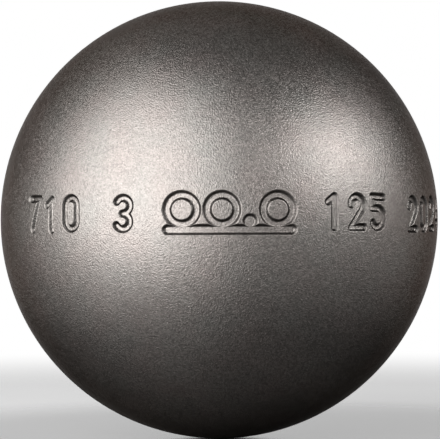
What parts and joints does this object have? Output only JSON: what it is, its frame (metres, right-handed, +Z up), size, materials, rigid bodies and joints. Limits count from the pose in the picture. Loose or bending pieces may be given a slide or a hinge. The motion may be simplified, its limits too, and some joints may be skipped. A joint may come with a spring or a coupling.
{
  "type": "petanque boule",
  "caption": "Hollow steel petanque boule: pressed half-shells centred by a lip, welded round the middle and turned to a sphere, with plain stamped figures.",
  "frame": {"origin": "centre of the ball", "axes": "+Z up, +Y from the stamped half-shell to the plain one, square to the weld; the stamped figures face -Y and read upright from there"},
  "size_m": [0.074, 0.074, 0.074],
  "materials": {
    "shell_steel": "bead-blasted satin, dark warm grey",
    "weld_steel": "bead-blasted satin, turned flush with the shells"
  },
  "bodies": {
    "root": {"front_half_shell": "shell_steel", "rear_half_shell": "shell_steel", "weld_bead": "weld_steel"}
  },
  "joints": []
}
